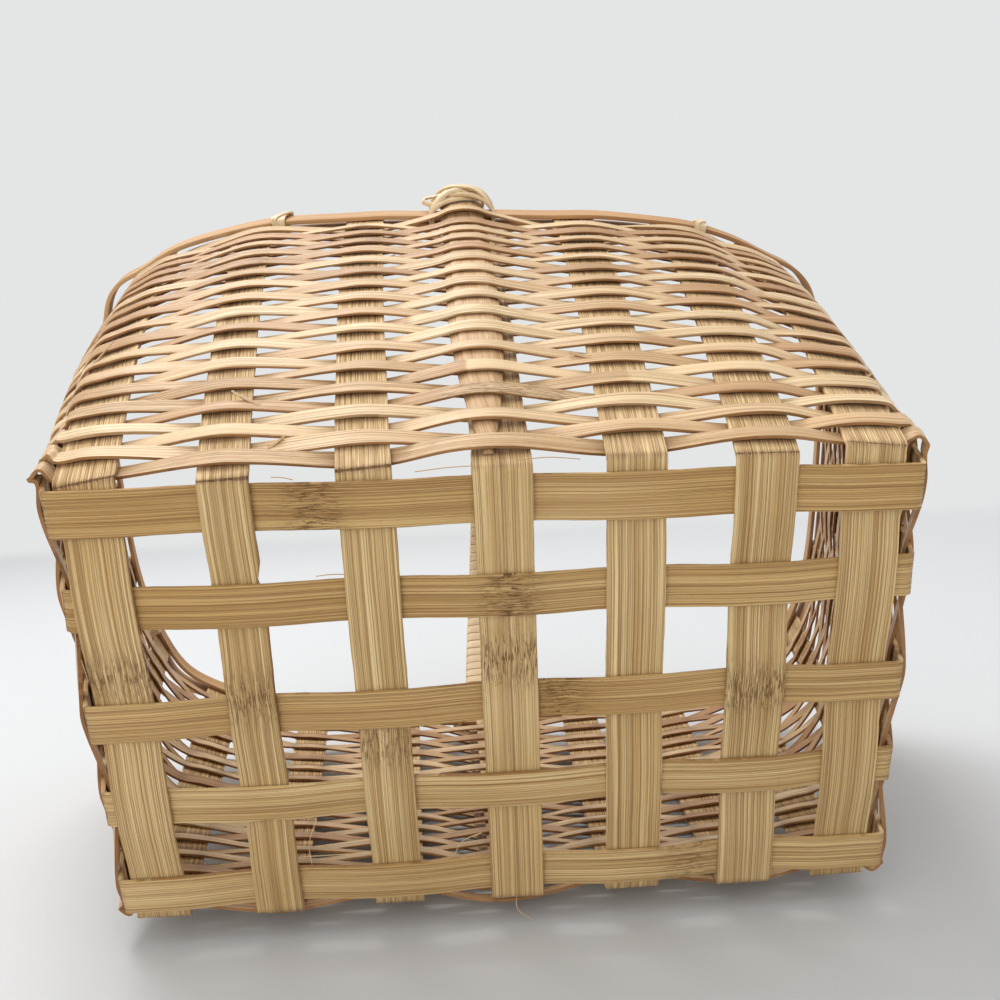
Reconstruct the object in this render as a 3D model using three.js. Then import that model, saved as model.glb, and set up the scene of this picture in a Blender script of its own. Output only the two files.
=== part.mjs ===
// Handled basket: an open plaited base, woven walls that flare to an oval rim, and a wrapped bow
// handle. Millimetres, +Z up, the underside of the base on z = 0, the long side along X.
import * as THREE from "three";

// Splints of the base, which fold up and become the stakes of the walls
const splintThick = 1.2;
const seatGap = 0.3;
const crossPitch = 32;
const crossWidth = 14;
const crossPlaceShares = [-3.01, -1.99, -0.95, 0.09, 1.11, 2.1, 2.95];
const crossWidthShares = [1.04, 0.9, 0.97, 1.04, 1.07, 1.1, 1.06];
const longPitch = 27.5;
const longWidth = 11;
const longPlaceShares = [-2.01, -1.09, 0.03, 1.01, 2.02];
const longSlantShares = [0.017, 0.011, 0, 0, 0];
const longWidthShares = [1.02, 0.99, 0.98, 0.94, 0.97];
const baseShiftX = 2.6;
const baseShiftY = 2.5;
const crossingEase = 1;
const foldEase = 1.2;
const longWallRoom = 3.4;
const shortWallRoom = 3.2;
const wallSteps = 7;
const cornerWallSteps = 14;

// Wall and rim outline
const rimHeight = 166;
const rimHalfLength = 144.8;
const rimHalfDepth = 107.4;
const rimSquareness = 3.6;
const rimSkewShare = 0.03;
const crossCornerRoom = 31;
const longCornerRoom = 40.7;
const wallBulgeShare = 0.58;
const endBulgeShare = 0.22;

// Weavers
const rowCount = 31;
const weaverWidth = 3.9;
const weaverThick = 1;
const lowestRowHeight = 6.8;
const cornerLoopRows = 6;
const cornerLoopReach = 3;
const cornerLoopHalf = 1.7;

// Rim bands and their ties
const bandWidth = 10;
const bandThick = 1.6;
const bandDrop = 4.6;
const bandCornerReach = 4;
const hoopWidth = 7;
const hoopThick = 1.4;
const hoopCornerReach = 4;
const cornerShares = [[0.22, 0.72], [0.5, 1], [0.78, 0.72]];
const tieWidth = 3;
const tieThick = 0.8;
const tieGap = 0.4;

// Bow handle
const handleShift = -3;
const handleLean = 9;
const handleTopHeight = 285;
const handleWidth = 15.4;
const handleThick = 4;
const tipHeight = 5.8;
const tipWidth = 2.4;
const tipThick = 1;
const taperHeight = 66;
const taperPower = 2.2;
const wallRise = 60;
const crownReach = 64;
const edgeShare = 0.45;
const faceShare = 0.45;
const rampDrop = 9;
const handleWallSteps = 9;
const handleArchSteps = 26;
const wallStepPower = 1.4;

// Strip wound round the handle
const wrapLoops = 24;
const wrapWidth = 4.5;
const wrapThick = 0.8;
const wrapStart = 12;

// Cane that lashes the handle to the rim
const caneRadius = 0.9;
const caneGap = 0.5;
const caneRoom = 3;
const caneSide = 4.5;
const caneSteps = 44;
const caneSides = 5;

// Heights and offsets that follow from those sizes
const baseMid = splintThick + seatGap / 2;
const crossingLift = (splintThick + seatGap) / 2;
const crossCount = crossPlaceShares.length;
const crossRimPitch = (rimHalfLength - crossCornerRoom) / Math.abs(crossPlaceShares[0]);
const longCount = longPlaceShares.length;
const longRimPitch = (rimHalfDepth - longCornerRoom) / Math.abs(longPlaceShares[longCount - 1]);
const longWallFold = ((longCount - 1) / 2) * longPitch + longWidth / 2 + longWallRoom;
const shortWallFold = ((crossCount - 1) / 2) * crossPitch + crossWidth / 2 + shortWallRoom;
const stakeFace = splintThick / 2;
const weaveOffset = stakeFace + seatGap + weaverThick / 2;
const bandOffset = stakeFace + seatGap + bandThick / 2;
const hoopOffset = stakeFace + seatGap + hoopThick / 2;
const bandHeight = rimHeight - bandDrop;
const bandFoot = bandHeight - bandWidth / 2;
const topRowHeight = bandFoot - caneRoom - weaverWidth / 2;
const rowPitch = (topRowHeight - lowestRowHeight) / (rowCount - 1);

const straw = 0xc9aa72;
const palePeel = 0xdcc08a;
const rosePeel = 0xd2ac7c;
const rimBrown = 0xb98a56;
const caneCream = 0xe2cd9a;

function vec(x, y, z) {
  return new THREE.Vector3(x, y, z);
}

function meshOf(name, geometry, color) {
  const material = new THREE.MeshStandardMaterial({ color, roughness: 0.62, metalness: 0 });
  const mesh = new THREE.Mesh(geometry, material);
  mesh.name = name;
  return mesh;
}

// A body skinned over rings of points, each ring in right-handed order about the way of travel
function skin(rings, closed) {
  const count = rings[0].length;
  const positions = rings.flat().flatMap((point) => [point.x, point.y, point.z]);
  const faces = [];
  const spans = closed ? rings.length : rings.length - 1;
  for (let i = 0; i < spans; i += 1) {
    const here = i * count;
    const next = ((i + 1) % rings.length) * count;
    for (let j = 0; j < count; j += 1) {
      const k = (j + 1) % count;
      faces.push(here + j, here + k, next + k, here + j, next + k, next + j);
    }
  }
  if (!closed) {
    const last = (rings.length - 1) * count;
    for (let j = 1; j < count - 1; j += 1) {
      faces.push(0, j + 1, j);
      faces.push(last, last + j, last + j + 1);
    }
  }
  const geometry = new THREE.BufferGeometry();
  geometry.setAttribute("position", new THREE.Float32BufferAttribute(positions, 3));
  geometry.setIndex(faces);
  geometry.computeVertexNormals();
  return geometry;
}

// Sweeps a profile along mitred stations. A station is a point and the direction of the
// profile's first axis, and profileAt(i) lists the profile's corners at that station.
function sweep(stations, profileAt, closed) {
  const total = stations.length;
  const rings = stations.map((station, i) => {
    const before = stations[closed ? (i + total - 1) % total : Math.max(i - 1, 0)].point;
    const after = stations[closed ? (i + 1) % total : Math.min(i + 1, total - 1)].point;
    const arrive = station.point.clone().sub(before);
    const leave = after.clone().sub(station.point);
    if (arrive.lengthSq() === 0) arrive.copy(leave);
    if (leave.lengthSq() === 0) leave.copy(arrive);
    const normalIn = arrive.cross(station.side).normalize();
    const normalOut = leave.cross(station.side).normalize();
    const normal = normalIn.clone().add(normalOut).normalize();
    const mitre = 1 / normal.dot(normalIn);
    return profileAt(i).map(([u, v]) =>
      station.point.clone().addScaledVector(station.side, u).addScaledVector(normal, v * mitre),
    );
  });
  return skin(rings, closed);
}

function ribbon(stations, width, thick, closed) {
  const u = width / 2;
  const v = thick / 2;
  const corners = [[u, v], [-u, v], [-u, -v], [u, -v]];
  return sweep(stations, () => corners, closed);
}

// Half depth of the rim's outline at a place along the other half axis
function outlineHalf(place, along, across) {
  const share = Math.min(Math.abs(place) / along, 1);
  return across * (1 - share ** rimSquareness) ** (1 / rimSquareness);
}

// Where a splint lies on the base and at the rim, how much it slants and how wide it is. They
// are numbered from 0.
function splintPlace(kind, index) {
  const cross = kind === "cross";
  const share = (cross ? crossPlaceShares : longPlaceShares)[index];
  const widthShare = (cross ? crossWidthShares : longWidthShares)[index];
  const slant = cross ? 0 : longSlantShares[index];
  const line = share * (cross ? crossPitch : longPitch) + (cross ? baseShiftX : baseShiftY);
  const middle = cross ? baseShiftY : baseShiftX;
  return {
    lineAt: (place) => line + slant * (place - middle),
    head: share * (cross ? crossRimPitch : longRimPitch),
    width: widthShare * (cross ? crossWidth : longWidth),
  };
}

// A stake's foot and head and its outward directions there
function stakeEnds(stake) {
  const cross = stake.kind === "cross";
  const { lineAt, head } = splintPlace(stake.kind, stake.index);
  const shift = cross ? baseShiftY : baseShiftX;
  const fold = stake.end * (cross ? longWallFold : shortWallFold) + shift;
  const reach = cross
    ? outlineHalf(head, rimHalfLength, rimHalfDepth)
    : outlineHalf(head, rimHalfDepth, rimHalfLength);
  const place = (a, b) => (cross ? vec(a, b, 0) : vec(b, a, 0));
  const base = place(lineAt(fold), fold);
  const rim = place(head, stake.end * reach);
  const power = rimSquareness - 1;
  const outX = (Math.sign(rim.x) * (Math.abs(rim.x) / rimHalfLength) ** power) / rimHalfLength;
  const outY = (Math.sign(rim.y) * (Math.abs(rim.y) / rimHalfDepth) ** power) / rimHalfDepth;
  const baseOut = cross ? vec(0, stake.end, 0) : vec(stake.end, 0, 0);
  rim.y += rimSkewShare * rim.x;
  return { base, rim, baseOut, rimOut: vec(outX, outY, 0).normalize() };
}

// The wall's middle surface at a stake and a height: its point, the level direction that runs
// anticlockwise round the basket, the direction up the wall and the direction out of it
function wallFrame(stake, height) {
  const { base, rim, baseOut, rimOut } = stakeEnds(stake);
  const level = (height - baseMid) / (rimHeight - baseMid);
  const spread = (bulge) => (1 - bulge) * level + bulge * (1 - (1 - level) ** 2);
  const growth = (bulge) => 1 - bulge + 2 * bulge * (1 - level);
  const rise = rim.clone().sub(base);
  const point = vec(
    base.x + rise.x * spread(endBulgeShare),
    base.y + rise.y * spread(wallBulgeShare),
    height,
  );
  const flatOut = baseOut.clone().lerp(rimOut, Math.max(spread(wallBulgeShare), 0)).normalize();
  const along = vec(-flatOut.y, flatOut.x, 0);
  const up = vec(rise.x * growth(endBulgeShare), rise.y * growth(wallBulgeShare), 0);
  up.setZ(rimHeight - baseMid);
  up.addScaledVector(along, -up.dot(along)).normalize();
  return { point, along, up, out: along.clone().cross(up) };
}

// A place given in a wall frame: along the wall, up it and out of it
function inFrame(frame, a, h, o) {
  const place = frame.point.clone().addScaledVector(frame.along, a);
  return place.addScaledVector(frame.up, h).addScaledVector(frame.out, o);
}

// Every stake in order round the basket, anticlockwise from the corner at -X -Y
function stakesAround() {
  const row = (kind, end) => {
    const places = kind === "cross" ? crossPlaceShares : longPlaceShares;
    return places.map((_, index) => ({ kind, index, end }));
  };
  const front = [...row("cross", -1), ...row("long", 1)];
  return [...front, ...row("cross", 1).reverse(), ...row("long", -1).reverse()];
}

const stakes = stakesAround();

function stakeWidth(stake) {
  return splintPlace(stake.kind, stake.index).width;
}

function isCorner(m) {
  return stakes[m].kind !== stakes[(m + 1) % stakes.length].kind;
}

// One splint: down one wall, across the base over and under the others, and up the other wall
function splint(kind, index) {
  const cross = kind === "cross";
  const otherKind = cross ? "long" : "cross";
  const ownLast = (cross ? crossCount : longCount) - 1;
  const otherLast = (cross ? longCount : crossCount) - 1;
  const side = cross ? vec(1, 0, 0) : vec(0, -1, 0);
  const { lineAt, width } = splintPlace(kind, index);
  const baseHeight = (other) => {
    const lower = ((index + other) % 2 === 1) === cross;
    return baseMid + (lower ? -crossingLift : crossingLift);
  };
  const onBase = (place, height) => ({
    point: cross ? vec(lineAt(place), place, height) : vec(place, lineAt(place), height),
    side,
  });
  const wall = (end) => {
    const stake = { kind, index, end };
    const foldHeight = baseHeight(end < 0 ? 0 : otherLast);
    const frames = [wallFrame(stake, foldHeight + foldEase)];
    const steps = index === 0 || index === ownLast ? cornerWallSteps : wallSteps;
    for (let step = 1; step <= steps; step += 1) {
      const share = step / steps;
      frames.push(wallFrame(stake, foldHeight + (rimHeight - foldHeight) * share));
    }
    const turn = frames[0].along.dot(side) > 0 ? 1 : -1;
    const stations = frames.map((frame) => ({
      point: frame.point,
      side: frame.along.clone().multiplyScalar(turn),
    }));
    const fold = wallFrame(stake, foldHeight).point;
    return [onBase((cross ? fold.y : fold.x) - end * foldEase, foldHeight), ...stations];
  };
  const stations = wall(-1).reverse();
  for (let other = 0; other <= otherLast; other += 1) {
    const crossing = splintPlace(otherKind, other);
    const half = crossing.width / 2 + crossingEase;
    const middle = crossing.lineAt(lineAt(0));
    if (other > 0) stations.push(onBase(middle - half, baseHeight(other)));
    if (other < otherLast) stations.push(onBase(middle + half, baseHeight(other)));
  }
  stations.push(...wall(1));
  return ribbon(stations, width, splintThick, false);
}

// The handle's width and thickness at a height on the wall, where its end is pared to a tongue
function handleSize(height) {
  const run = Math.min(Math.max((height - tipHeight) / taperHeight, 0), 1);
  const share = 1 - (1 - run) ** taperPower;
  return {
    width: tipWidth + (handleWidth - tipWidth) * share,
    thick: tipThick + (handleThick - tipThick) * share,
  };
}

// How far the handle's flat face stands out from the wall's middle surface at a height. It lies
// on the stake under the weavers and steps out over the rim band.
function handleOffset(height) {
  const onStake = stakeFace + seatGap;
  const onBand = onStake + bandThick + seatGap;
  const run = Math.min(Math.max((height - bandFoot + rampDrop) / rampDrop, 0), 1);
  return onStake + (onBand - onStake) * run;
}

const middleCross = (crossCount - 1) / 2;

function handleStake(end) {
  return { kind: "cross", index: middleCross, end };
}

function carriesHandle(stake) {
  return stake.kind === "cross" && stake.index === middleCross;
}

// The two stations of a row at one stake. A row that passes outside a handle's stake also
// passes outside the handle's end.
function rowStations(stake, height, outside) {
  const frame = wallFrame(stake, height);
  if (outside && carriesHandle(stake)) {
    const top = height + weaverWidth / 2;
    const size = handleSize(top);
    const offset = handleOffset(top) + size.thick + seatGap + weaverThick / 2;
    const middle = handleShift * -stake.end;
    const half = (size.width / 2) * faceShare + seatGap;
    return [middle - half, middle + half].map((a) => ({
      point: inFrame(frame, a, 0, offset),
      side: frame.up,
    }));
  }
  const half = stakeWidth(stake) / 2 + crossingEase;
  const offset = outside ? weaveOffset : -weaveOffset;
  return [-half, half].map((a) => ({ point: inFrame(frame, a, 0, offset), side: frame.up }));
}

// The loose loop that a low row makes as it turns a corner of the base
function cornerLoop(from, to, row) {
  const reach = cornerLoopReach * (1 - row / cornerLoopRows);
  const middle = from.point.clone().lerp(to.point, 0.5);
  const out = vec(Math.sign(middle.x), Math.sign(middle.y), 0).normalize();
  const along = vec(-out.y, out.x, 0);
  const side = from.side.clone().add(to.side).normalize();
  return [-cornerLoopHalf, cornerLoopHalf].map((half) => ({
    point: middle.clone().addScaledVector(out, reach).addScaledVector(along, half),
    side,
  }));
}

// One weaver row: a closed ring that passes outside every second stake
function weaverRow(row) {
  const height = lowestRowHeight + rowPitch * row;
  const pairs = stakes.map((stake, m) => rowStations(stake, height, (m + row) % 2 === 1));
  const stations = pairs.flatMap((pair, m) => {
    if (!isCorner(m) || row >= cornerLoopRows) return pair;
    return [...pair, ...cornerLoop(pair[1], pairs[(m + 1) % pairs.length][0], row)];
  });
  return ribbon(stations, weaverWidth, weaverThick, true);
}

// Stations of a rim hoop that keeps one side of the stakes and rounds the corners. At a corner
// it stands off the straight way from stake to stake.
function rimStations(height, offset, cornerReach) {
  const pairs = stakes.map((stake) => {
    const frame = wallFrame(stake, height);
    const half = stakeWidth(stake) / 2 + crossingEase;
    return [-half, half].map((a) => ({ point: inFrame(frame, a, 0, offset), side: frame.up }));
  });
  return pairs.flatMap((pair, m) => {
    if (!isCorner(m)) return pair;
    const next = pairs[(m + 1) % pairs.length][0];
    const side = pair[1].side.clone().add(next.side).normalize();
    const along = next.point.clone().sub(pair[1].point).normalize();
    const out = along.clone().cross(side).normalize();
    const bend = cornerShares.map(([share, reach]) => ({
      point: pair[1].point.clone().lerp(next.point, share).addScaledVector(out, cornerReach * reach),
      side,
    }));
    return [...pair, ...bend];
  });
}

const hoopHeight = bandHeight + (bandWidth - hoopWidth) / 2;

// The lap of a tie: a small strip bent round the band and the hoop beside a stake
function rimTie(m, way) {
  const stake = stakes[m];
  const frame = wallFrame(stake, bandHeight);
  const a = way * (stakeWidth(stake) / 2 + crossingEase + tieWidth / 2 + tieGap);
  const next = stakes[(m + way + stakes.length) % stakes.length];
  const nextFrame = wallFrame(next, bandHeight);
  const nextEdge = -way * (stakeWidth(next) / 2 + crossingEase);
  const ownEdge = way * (stakeWidth(stake) / 2 + crossingEase);
  const own = inFrame(frame, ownEdge, 0, 0);
  const far = inFrame(nextFrame, nextEdge, 0, 0);
  const along = far.clone().sub(own).normalize();
  const middle = own.clone().addScaledVector(along, Math.abs(a) - Math.abs(ownEdge));
  const up = frame.up.clone();
  up.addScaledVector(along, -up.dot(along)).normalize();
  const bay = { point: middle, along: along.multiplyScalar(way), up };
  bay.out = bay.along.clone().cross(up);
  const outer = bandOffset + bandThick / 2 + tieGap + tieThick / 2;
  const inner = -(hoopOffset + hoopThick / 2 + tieGap + tieThick / 2);
  const top = bandWidth / 2 + tieGap + tieThick / 2;
  const ease = tieThick;
  const corners = [
    [top - ease, outer], [top, outer - ease], [top, inner + ease], [top - ease, inner],
    [-top + ease, inner], [-top, inner + ease], [-top, outer - ease], [-top + ease, outer],
  ];
  const stations = corners.map(([h, o]) => ({ point: inFrame(bay, 0, h, o), side: bay.along }));
  return ribbon(stations.reverse(), tieWidth, tieThick, true);
}

// The handle's bow between its two crossings of the rim, as a curve of its flat face
function bowCurve() {
  const foot = (end) => {
    const frame = wallFrame(handleStake(end), rimHeight);
    return inFrame(frame, -end * handleShift, 0, handleOffset(rimHeight));
  };
  const rise = (end) => wallFrame(handleStake(end), rimHeight).up.setX(0).normalize();
  const near = foot(-1);
  const far = foot(1).setX(near.x);
  const crown = vec(near.x, 0, handleTopHeight - handleThick - seatGap - wrapThick);
  const path = new THREE.CurvePath();
  const nearOut = near.clone().addScaledVector(rise(-1), wallRise);
  const farOut = far.clone().addScaledVector(rise(1), wallRise);
  const toCrown = crown.clone().add(vec(0, -crownReach, 0));
  const fromCrown = crown.clone().add(vec(0, crownReach, 0));
  path.add(new THREE.CubicBezierCurve3(near, nearOut, toCrown, crown));
  path.add(new THREE.CubicBezierCurve3(crown, fromCrown, farOut, far));
  return path;
}

const bow = bowCurve();
const bowLength = bow.getLength();

// A point of the bow with the handle's sideways lean, and the directions there
function bowFrame(share) {
  const point = bow.getPointAt(share);
  point.x += handleLean * Math.sin(Math.PI * share) ** 2;
  const tangent = bow.getTangentAt(share);
  const side = vec(-1, 0, 0);
  return { point, side, tangent, out: tangent.clone().cross(side).normalize() };
}

function halfRound(width, thick) {
  const u = width / 2;
  return [
    [u, 0], [u, thick * edgeShare], [u * faceShare, thick],
    [-u * faceShare, thick], [-u, thick * edgeShare], [-u, 0],
  ];
}

// The bow handle: a half-round strip whose pared ends lie outside the middle stakes
function bowHandle() {
  const wallPart = (end) => {
    const heights = [];
    for (let step = 0; step < handleWallSteps; step += 1) {
      const share = (step / handleWallSteps) ** wallStepPower;
      heights.push(tipHeight + (bandFoot - rampDrop - tipHeight) * share);
    }
    heights.push(bandFoot - rampDrop, bandFoot);
    return heights.map((height) => {
      const frame = wallFrame(handleStake(end), height);
      const point = inFrame(frame, -end * handleShift, 0, handleOffset(height));
      return { point, side: vec(-1, 0, 0), profile: handleSize(height) };
    });
  };
  const stations = wallPart(-1);
  for (let step = 0; step <= handleArchSteps; step += 1) {
    const frame = bowFrame(step / handleArchSteps);
    stations.push({ point: frame.point, side: frame.side, profile: handleSize(rimHeight) });
  }
  stations.push(...wallPart(1).reverse());
  const profileAt = (i) => halfRound(stations[i].profile.width, stations[i].profile.thick);
  return sweep(stations, profileAt, false);
}

// Moves a closed outline outward by a distance, keeping its corners
function grow(outline, distance) {
  return outline.map(([u, v], i) => {
    const [pu, pv] = outline[(i + outline.length - 1) % outline.length];
    const [nu, nv] = outline[(i + 1) % outline.length];
    const inLength = Math.hypot(u - pu, v - pv);
    const outLength = Math.hypot(nu - u, nv - v);
    const normalIn = [(v - pv) / inLength, -(u - pu) / inLength];
    const normalOut = [(nv - v) / outLength, -(nu - u) / outLength];
    const sum = [normalIn[0] + normalOut[0], normalIn[1] + normalOut[1]];
    const scale = distance / (1 + normalIn[0] * normalOut[0] + normalIn[1] * normalOut[1]);
    return [u + sum[0] * scale, v + sum[1] * scale];
  });
}

// The strip wound round the bow from rim to rim, one unbroken winding
function handleWrap() {
  const outline = grow(halfRound(handleWidth, handleThick), seatGap + wrapThick / 2);
  const start = wrapStart / bowLength;
  const stations = [];
  for (let i = 0; i <= wrapLoops * outline.length; i += 1) {
    const share = start + (1 - 2 * start) * (i / (wrapLoops * outline.length));
    const [u, v] = outline[i % outline.length];
    const frame = bowFrame(share);
    const point = frame.point.clone().addScaledVector(frame.side, u).addScaledVector(frame.out, v);
    stations.push({ point, side: frame.tangent });
  }
  printLeastGap(stations, outline.length);
  return ribbon(stations, wrapWidth, wrapThick, false);
}

// Prints the least gap between one loop of the winding and the next, measured on its points
function printLeastGap(stations, perLoop) {
  let least = Infinity;
  const edge = (station, way) => {
    return station.point.clone().addScaledVector(station.side, (way * wrapWidth) / 2);
  };
  for (let i = 0; i + perLoop < stations.length; i += 1) {
    const ahead = edge(stations[i], 1);
    for (let j = i + perLoop - 2; j < Math.min(i + perLoop + 3, stations.length); j += 1) {
      least = Math.min(least, ahead.distanceTo(edge(stations[j], -1)));
    }
  }
  console.log(`least gap of the handle wrap to itself: ${least.toFixed(2)} mm`);
}

// The cane that binds the handle to the rim: a figure of eight that crosses on the handle's
// face and goes over and under the band and the hoop on both sides
function lashing(end) {
  const frame = wallFrame(handleStake(end), bandHeight);
  const middle = handleShift * -end;
  const room = caneGap + caneRadius;
  const inside = -(hoopOffset + hoopThick / 2 + room);
  const beside = bandOffset + bandThick / 2 + room;
  const face = handleOffset(rimHeight) + handleThick + room;
  const over = face + 2 * caneRadius + seatGap;
  const edge = handleOffset(rimHeight) + handleThick * edgeShare + room;
  const high = bandWidth / 2 + room;
  const wide = handleWidth / 2 + caneSide;
  const shoulder = handleWidth / 2 + room / 2;
  const flat = (handleWidth / 2) * faceShare;
  const eighth = high / 2;
  const diagonal = (way, lift) => [
    [-wide * way, -high + caneRadius, beside],
    [-shoulder * way, -eighth - caneRadius, edge + room / 2],
    [-flat * way, -eighth / 2, (face + lift) / 2],
    [0, 0, lift],
    [flat * way, eighth / 2, (face + lift) / 2],
    [shoulder * way, eighth + caneRadius, edge + room / 2],
    [wide * way, high - caneRadius, beside],
    [wide * way, high, 0],
    [wide * way, high - caneRadius / 2, inside + caneRadius / 2],
    [wide * way, 0, inside],
    [wide * way, -high + caneRadius / 2, inside + caneRadius / 2],
    [wide * way, -high, 0],
  ];
  const route = [...diagonal(1, face), ...diagonal(-1, over)];
  const points = route.map(([a, h, o]) => inFrame(frame, a + middle, h, o));
  return roundLoop(points, caneRadius, caneSteps, caneSides);
}

// A closed round cane through a loop of points
function roundLoop(points, radius, steps, sides) {
  const curve = new THREE.CatmullRomCurve3(points, true, "centripetal");
  const frames = curve.computeFrenetFrames(steps, true);
  const rings = [];
  for (let i = 0; i < steps; i += 1) {
    const centre = curve.getPointAt(i / steps);
    const ring = [];
    for (let j = 0; j < sides; j += 1) {
      const angle = (2 * Math.PI * j) / sides;
      const point = centre.clone().addScaledVector(frames.normals[i], radius * Math.cos(angle));
      ring.push(point.addScaledVector(frames.binormals[i], radius * Math.sin(angle)));
    }
    rings.push(ring);
  }
  return skin(rings, true);
}

// The ties of the rim, each by its stake and the side of that stake it lies on
const ties = [
  { stake: 1, way: 1 },
  { stake: 5, way: 1 },
  { stake: 23, way: -1 },
  { stake: 19, way: 1 },
];

const basket = new THREE.Group();
basket.name = "handled_basket";

for (let i = 0; i < crossCount; i += 1) {
  const geometry = splint("cross", i);
  basket.add(meshOf(`cross_splint_${i + 1}`, geometry, straw));
}
for (let j = 0; j < longCount; j += 1) {
  const geometry = splint("long", j);
  basket.add(meshOf(`long_splint_${j + 1}`, geometry, straw));
}
for (let row = 0; row < rowCount; row += 1) {
  const label = String(row + 1).padStart(2, "0");
  basket.add(meshOf(`weaver_row_${label}`, weaverRow(row), row % 3 === 1 ? rosePeel : palePeel));
}
const bandPath = rimStations(bandHeight, bandOffset, bandCornerReach);
const hoopPath = rimStations(hoopHeight, -hoopOffset, hoopCornerReach);
basket.add(meshOf("rim_band", ribbon(bandPath, bandWidth, bandThick, true), rimBrown));
basket.add(meshOf("rim_hoop", ribbon(hoopPath, hoopWidth, hoopThick, true), rimBrown));
ties.forEach((tie, i) => {
  basket.add(meshOf(`rim_tie_${i + 1}`, rimTie(tie.stake, tie.way), caneCream));
});
basket.add(meshOf("bow_handle", bowHandle(), straw));
basket.add(meshOf("handle_wrap", handleWrap(), caneCream));
basket.add(meshOf("handle_lashing_front", lashing(-1), caneCream));
basket.add(meshOf("handle_lashing_back", lashing(1), caneCream));

export default basket;
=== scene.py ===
# Handled basket of split bamboo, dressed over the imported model: every strip is laid again along
# its weave, with worked edges, fibre, joints of the cane and the wound handle.
import math

import bpy
import numpy as np
from mathutils import Matrix, Vector


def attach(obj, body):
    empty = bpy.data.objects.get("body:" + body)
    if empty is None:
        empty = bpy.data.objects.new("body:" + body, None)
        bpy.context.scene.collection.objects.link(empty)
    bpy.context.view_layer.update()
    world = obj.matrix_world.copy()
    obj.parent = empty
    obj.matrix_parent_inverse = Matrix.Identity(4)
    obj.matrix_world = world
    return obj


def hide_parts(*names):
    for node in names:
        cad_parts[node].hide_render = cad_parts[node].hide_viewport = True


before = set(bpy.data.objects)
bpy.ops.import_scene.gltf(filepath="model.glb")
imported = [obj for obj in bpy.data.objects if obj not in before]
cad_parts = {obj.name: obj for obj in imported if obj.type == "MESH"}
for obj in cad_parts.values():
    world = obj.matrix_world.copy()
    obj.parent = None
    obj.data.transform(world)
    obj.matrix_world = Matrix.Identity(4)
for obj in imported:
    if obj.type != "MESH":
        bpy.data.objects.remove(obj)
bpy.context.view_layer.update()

mm = 0.001

# sizes of the weave, in millimetres: the solids' own, but for the rows' strips, the widths of the long
# splints and the foot of the handle
weave = dict(
    crossPitch=32, crossCornerRoom=31, crossWidth=14,
    crossPlaces=[-3.01, -1.99, -0.95, 0.09, 1.11, 2.1, 2.95],
    crossWidths=[1.04, 0.9, 0.97, 1.04, 1.07, 1.1, 1.06],
    longPitch=27.5, longCornerRoom=40.7, longWidth=11,
    longPlaces=[-2.01, -1.09, 0.03, 1.01, 2.02],
    longSlants=[0.017, 0.011, 0, 0, 0],
    longWidths=[1.1, 1.04, 0.99, 0.95, 0.98],
    baseShiftX=2.6, baseShiftY=2.5, thick=1.2, gap=0.3, ease=1,
    longWallRoom=3.4, shortWallRoom=3.2,
    rimHeight=166, rimHalfLength=144.8, rimHalfDepth=107.4, rimSquareness=3.6, rimSkew=0.03,
    bulge=0.58, endBulge=0.22,
)
rows = dict(count=31, width=4.35, thick=0.9, seat=0.18, lowest=6.8, loopRows=6, loopReach=3, loopHalf=1.7)
rim = dict(
    width=10, thick=1.6, drop=4.6, reach=4, ease=3.5,
    hoopWidth=7, hoopThick=1.4, hoopReach=4, hoopEase=9,
)
bow = dict(
    shift=-3, lean=9, top=285, width=15.4, thick=4, wallThick=2.5, tipHeight=4.2, tipWidth=2.4, tipThick=1,
    taper=66, taperPower=2.2, rise=60, crown=64, ramp=9, swellFrom=16, swellOver=22, underside=0.4,
    curveSteps=200,
)
wrap = dict(width=4.3, thick=0.8, start=6, pitch=4.5, perTurn=24)
cane = dict(radius=0.9, gap=0.5, room=3, side=4.5)

baseMid = weave["thick"] + weave["gap"] / 2
lift = (weave["thick"] + weave["gap"]) / 2
weaveOffset = weave["thick"] / 2 + rows["seat"] + rows["thick"] / 2
bandOffset = weave["thick"] / 2 + weave["gap"] + rim["thick"] / 2
hoopOffset = weave["thick"] / 2 + weave["gap"] + rim["hoopThick"] / 2
bandHeight = weave["rimHeight"] - rim["drop"]
bandFoot = bandHeight - rim["width"] / 2
topRow = bandFoot - cane["room"] - rows["width"] / 2
rowPitch = (topRow - rows["lowest"]) / (rows["count"] - 1)
crossCount = len(weave["crossPlaces"])
longCount = len(weave["longPlaces"])
weave["crossRimPitch"] = (weave["rimHalfLength"] - weave["crossCornerRoom"]) / abs(weave["crossPlaces"][0])
weave["longRimPitch"] = (weave["rimHalfDepth"] - weave["longCornerRoom"]) / abs(weave["longPlaces"][-1])
longWallFold = (longCount - 1) / 2 * weave["longPitch"] + weave["longWidth"] / 2 + weave["longWallRoom"]
shortWallFold = ((crossCount - 1) / 2 * weave["crossPitch"] + weave["crossWidth"] / 2
                 + weave["shortWallRoom"])
middle = (crossCount - 1) // 2


# small helpers for numbers and vectors
def vec(*parts):
    return np.array(parts, float)


def unit(a):
    return a / np.maximum(np.linalg.norm(a, axis=-1, keepdims=True), 1e-12)


waves = dict(count=5, fade=0.7, peak=1.8)  # of a wandering value


def ripple(t, seed):
    # a smooth wandering value between about -1 and 1, the same on every run
    r = np.random.default_rng(seed)
    out = np.zeros_like(np.asarray(t, float))
    for k in range(1, waves["count"] + 1):
        out += np.sin(t * k * 2 * math.pi + r.uniform(0, 2 * math.pi)) / k ** waves["fade"]
    return out / waves["peak"]


def smoothStep(t):
    t = np.clip(t, 0, 1)
    return t * t * (3 - 2 * t)


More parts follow.
